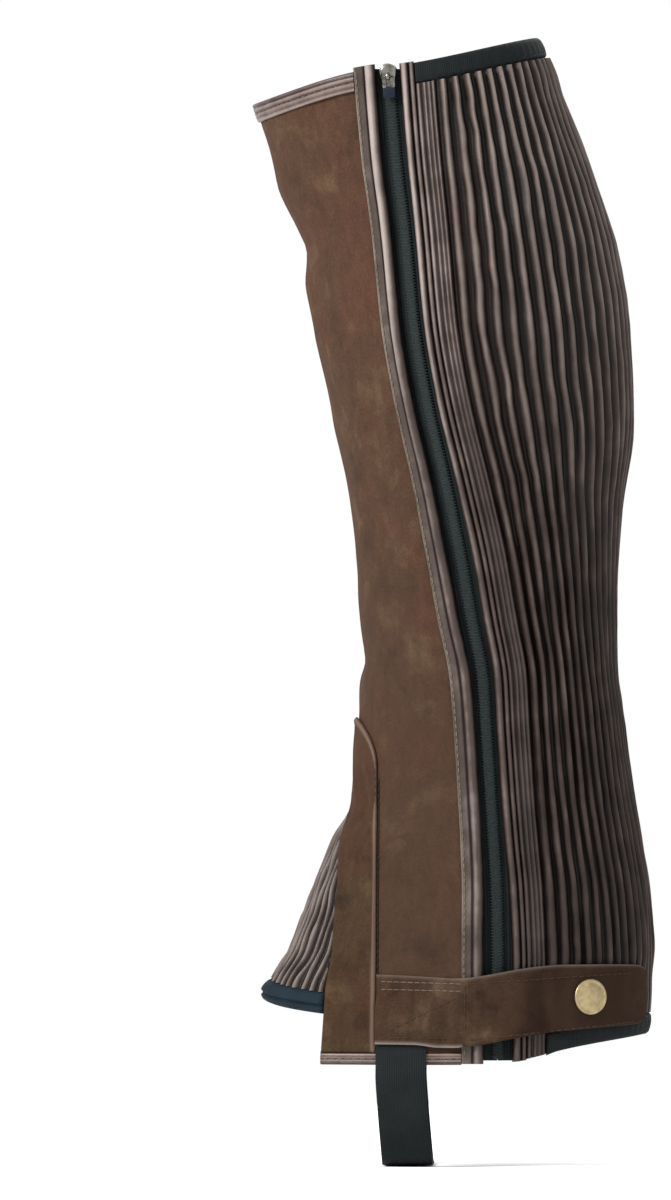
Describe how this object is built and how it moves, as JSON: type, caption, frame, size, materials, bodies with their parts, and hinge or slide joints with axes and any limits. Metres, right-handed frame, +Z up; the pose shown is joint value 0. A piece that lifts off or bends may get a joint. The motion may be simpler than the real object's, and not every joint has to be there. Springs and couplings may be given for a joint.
{
  "type": "half chap",
  "caption": "Left-leg half chap: suede shin panel, gathered leather calf panel, outer zip under a snap strap, elastic instep insert and stirrup, filled out as worn.",
  "frame": {"origin": "middle of the hollow at the widest of the calf, where the wearer's leg holds it", "axes": "+Z up the leg, +X to the back of the calf, -Y to the outer side with the zip"},
  "size_m": [0.1684, 0.122, 0.4731],
  "materials": {
    "suede": "brushed suede",
    "dark_suede": "dark brushed suede",
    "leather": "smooth satin leather",
    "elastic": "woven elastic",
    "zip": "woven tape and nylon coil",
    "steel": "bright steel",
    "brass": "satin brass",
    "black_tab": "matte"
  },
  "bodies": {
    "chap": {"shin_panel": "suede", "lower_overlay": "dark_suede", "snap_strap": "dark_suede", "top_binding": "leather", "hem_binding_outer": "leather", "hem_binding_inner": "leather", "calf_panel": "leather", "instep_panel": "leather", "zip_binding_front": "leather", "zip_piping_rear": "leather", "zip_binding_rear": "leather", "top_elastic": "elastic", "hem_elastic": "elastic", "instep_elastic": "elastic", "stirrup": "elastic", "zip_tape_front": "zip", "zip_tape_rear": "zip", "zip_chain": "zip", "slider": "steel", "snap_cap": "brass", "snap_socket": "brass", "snap_stud": "brass"},
    "pull_tab": {"pull_tab": "black_tab"}
  },
  "joints": [
    {"name": "tab_swing", "type": "hinge", "parent": "chap", "child": "pull_tab", "pos_m": [-0.03932, -0.05916, 0.12756], "axis": [-0.9913, 0.1018, -0.0836], "range_deg": [0, 150]}
  ]
}
